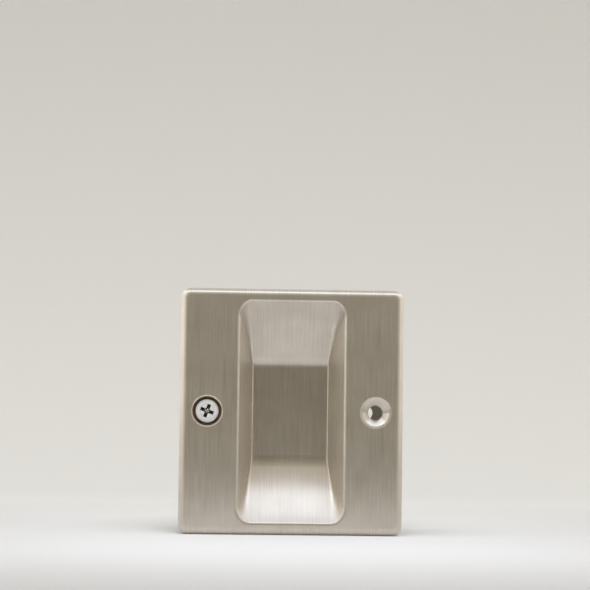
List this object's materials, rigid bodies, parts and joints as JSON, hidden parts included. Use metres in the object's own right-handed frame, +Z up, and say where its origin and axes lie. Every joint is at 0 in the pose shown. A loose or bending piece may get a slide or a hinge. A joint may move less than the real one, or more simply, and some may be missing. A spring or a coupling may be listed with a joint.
{
  "type": "pocket door pull",
  "caption": "Notch pull for a pocket door: bevelled face plates with scooped finger cups, telescoping over the door's edge round a finger opening.",
  "frame": {"origin": "middle of the closed pull: midway between the two faces, level with the screw holes", "axes": "+X across the face, away from the door's edge; +Y from the front plate to the back plate; +Z up"},
  "size_m": [0.0636, 0.0412, 0.0698],
  "materials": {
    "satin_nickel": "satin nickel plate on cast brass, brushed along the face",
    "bright_zinc": "bright zinc plate"
  },
  "bodies": {
    "front": {"front_half": "satin_nickel", "joining_screw": "bright_zinc"},
    "back": {"back_half": "satin_nickel"}
  },
  "joints": [
    {"name": "thickness_slide", "type": "slide", "parent": "front", "child": "back", "axis": [0, 1, 0], "range_m": [0, 0.00953]}
  ]
}
